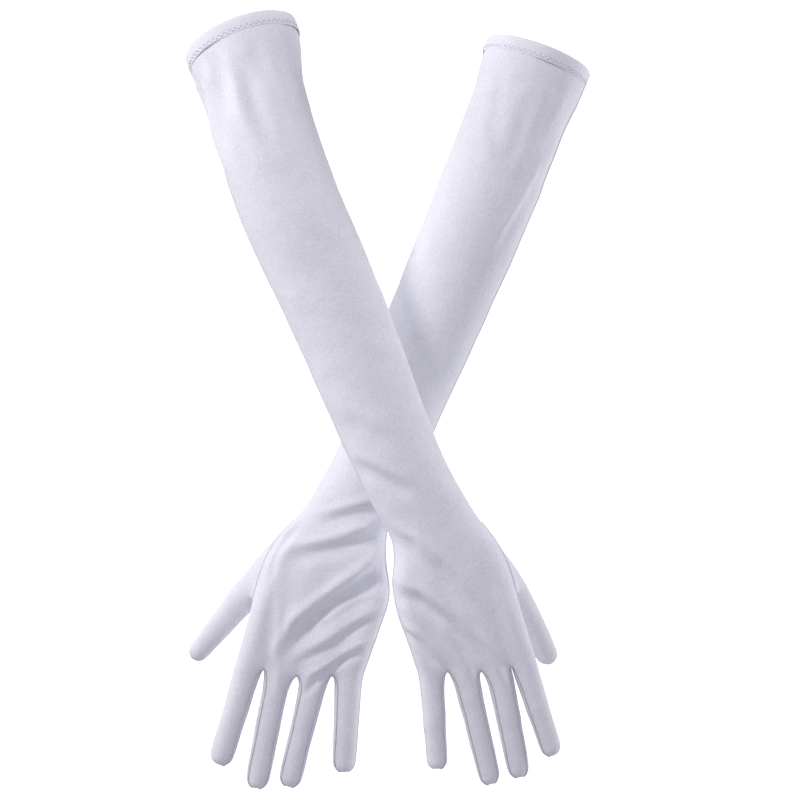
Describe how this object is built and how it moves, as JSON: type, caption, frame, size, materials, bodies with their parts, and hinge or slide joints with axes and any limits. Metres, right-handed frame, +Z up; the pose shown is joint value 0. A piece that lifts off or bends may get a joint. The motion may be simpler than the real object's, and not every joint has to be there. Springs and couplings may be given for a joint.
{
  "type": "pair of opera gloves",
  "caption": "Pair of long stretch-knit gloves reaching above the elbow, worn shape, forearms crossed, hands hanging with fingers slightly spread.",
  "frame": {"origin": "on the left sleeve's centreline where the right sleeve crosses in front of it, inside the wearer's left forearm", "axes": "+Z up towards the elbows, +X towards the viewer's right, -Y out of the backs of the hands"},
  "size_m": [0.2728, 0.1273, 0.5179],
  "materials": {
    "glove_knit": "white stretch knit, soft sheen",
    "hem_knit": "white stretch knit, turned double",
    "fourchette_knit": "white stretch knit cut crosswise",
    "seam_thread": "white overlocked thread",
    "hem_thread": "white sewing thread"
  },
  "bodies": {
    "left_forearm_sleeve": {"left_forearm_back": "glove_knit", "left_forearm_palm": "glove_knit", "left_forearm_side_seam": "seam_thread"},
    "left_upper_sleeve": {"left_hem_band": "hem_knit", "left_hem_stitching": "hem_thread", "left_upper_back": "glove_knit", "left_upper_palm": "glove_knit", "left_upper_side_seam": "seam_thread"},
    "left_hand": {"left_hand_back": "glove_knit", "left_hand_palm": "glove_knit", "left_hand_side_seam": "seam_thread", "left_thumb_seam": "seam_thread"},
    "left_index_finger": {"left_index_back": "glove_knit", "left_index_palm": "glove_knit", "left_index_ulnar_fourchette": "fourchette_knit"},
    "left_middle_finger": {"left_middle_back": "glove_knit", "left_middle_palm": "glove_knit", "left_middle_radial_fourchette": "fourchette_knit", "left_middle_ulnar_fourchette": "fourchette_knit"},
    "left_ring_finger": {"left_ring_back": "glove_knit", "left_ring_palm": "glove_knit", "left_ring_radial_fourchette": "fourchette_knit", "left_ring_ulnar_fourchette": "fourchette_knit"},
    "left_little_finger": {"left_little_back": "glove_knit", "left_little_palm": "glove_knit", "left_little_radial_fourchette": "fourchette_knit"},
    "left_thumb_body": {"left_thumb": "glove_knit"},
    "right_forearm_sleeve": {"right_forearm_back": "glove_knit", "right_forearm_palm": "glove_knit", "right_forearm_side_seam": "seam_thread"},
    "right_upper_sleeve": {"right_hem_band": "hem_knit", "right_hem_stitching": "hem_thread", "right_upper_back": "glove_knit", "right_upper_palm": "glove_knit", "right_upper_side_seam": "seam_thread"},
    "right_hand": {"right_hand_back": "glove_knit", "right_hand_palm": "glove_knit", "right_hand_side_seam": "seam_thread", "right_thumb_seam": "seam_thread"},
    "right_index_finger": {"right_index_back": "glove_knit", "right_index_palm": "glove_knit", "right_index_ulnar_fourchette": "fourchette_knit"},
    "right_middle_finger": {"right_middle_back": "glove_knit", "right_middle_palm": "glove_knit", "right_middle_radial_fourchette": "fourchette_knit", "right_middle_ulnar_fourchette": "fourchette_knit"},
    "right_ring_finger": {"right_ring_back": "glove_knit", "right_ring_palm": "glove_knit", "right_ring_radial_fourchette": "fourchette_knit", "right_ring_ulnar_fourchette": "fourchette_knit"},
    "right_little_finger": {"right_little_back": "glove_knit", "right_little_palm": "glove_knit", "right_little_radial_fourchette": "fourchette_knit"},
    "right_thumb_body": {"right_thumb": "glove_knit"}
  },
  "joints": [
    {"name": "arms_part", "type": "slide", "parent": "left_forearm_sleeve", "child": "right_forearm_sleeve", "axis": [0, -1, 0], "range_m": [0, 0.08]},
    {"name": "left_elbow", "type": "hinge", "parent": "left_forearm_sleeve", "child": "left_upper_sleeve", "pos_m": [0.06833, -0.02278, 0.16181], "axis": [0.9268, 0, -0.3754], "range_deg": [0, 80]},
    {"name": "left_wrist", "type": "hinge", "parent": "left_forearm_sleeve", "child": "left_hand", "pos_m": [-0.026, -0.001, -0.056], "axis": [0.9114, 0, -0.4116], "range_deg": [-30, 50]},
    {"name": "left_index_bend", "type": "hinge", "parent": "left_hand", "child": "left_index_finger", "pos_m": [-0.09645, 0.00971, -0.16792], "axis": [0.9555, 0, -0.2951], "range_deg": [0, 80]},
    {"name": "left_middle_bend", "type": "hinge", "parent": "left_hand", "child": "left_middle_finger", "pos_m": [-0.07565, 0.00979, -0.17406], "axis": [0.9796, 0, -0.2009], "range_deg": [0, 80]},
    {"name": "left_ring_bend", "type": "hinge", "parent": "left_hand", "child": "left_ring_finger", "pos_m": [-0.05195, 0.00974, -0.17703], "axis": [0.9717, 0, -0.2364], "range_deg": [0, 80]},
    {"name": "left_little_bend", "type": "hinge", "parent": "left_hand", "child": "left_little_finger", "pos_m": [-0.02742, 0.00976, -0.17324], "axis": [0.9987, 0, -0.0514], "range_deg": [0, 80]},
    {"name": "left_thumb_bend", "type": "hinge", "parent": "left_hand", "child": "left_thumb_body", "pos_m": [-0.09703, 0.02367, -0.11338], "axis": [0.77, 0, -0.638], "range_deg": [0, 40]},
    {"name": "right_elbow", "type": "hinge", "parent": "right_forearm_sleeve", "child": "right_upper_sleeve", "pos_m": [-0.07512, -0.0746, 0.17297], "axis": [0.935, 0, 0.3547], "range_deg": [0, 80]},
    {"name": "right_wrist", "type": "hinge", "parent": "right_forearm_sleeve", "child": "right_hand", "pos_m": [0.0265, -0.056, -0.057], "axis": [0.9075, 0, 0.42], "range_deg": [-30, 50]},
    {"name": "right_index_bend", "type": "hinge", "parent": "right_hand", "child": "right_index_finger", "pos_m": [0.09054, -0.04534, -0.16076], "axis": [0.9502, 0, 0.3116], "range_deg": [0, 80]},
    {"name": "right_middle_bend", "type": "hinge", "parent": "right_hand", "child": "right_middle_finger", "pos_m": [0.07361, -0.04509, -0.16493], "axis": [0.9801, 0, 0.1988], "range_deg": [0, 80]},
    {"name": "right_ring_bend", "type": "hinge", "parent": "right_hand", "child": "right_ring_finger", "pos_m": [0.05142, -0.04527, -0.16599], "axis": [0.9724, 0, 0.2334], "range_deg": [0, 80]},
    {"name": "right_little_bend", "type": "hinge", "parent": "right_hand", "child": "right_little_finger", "pos_m": [0.029, -0.04557, -0.1652], "axis": [0.9981, 0, 0.061], "range_deg": [0, 80]},
    {"name": "right_thumb_bend", "type": "hinge", "parent": "right_hand", "child": "right_thumb_body", "pos_m": [0.08202, -0.02942, -0.10737], "axis": [0.8779, 0, 0.4789], "range_deg": [0, 40]}
  ]
}
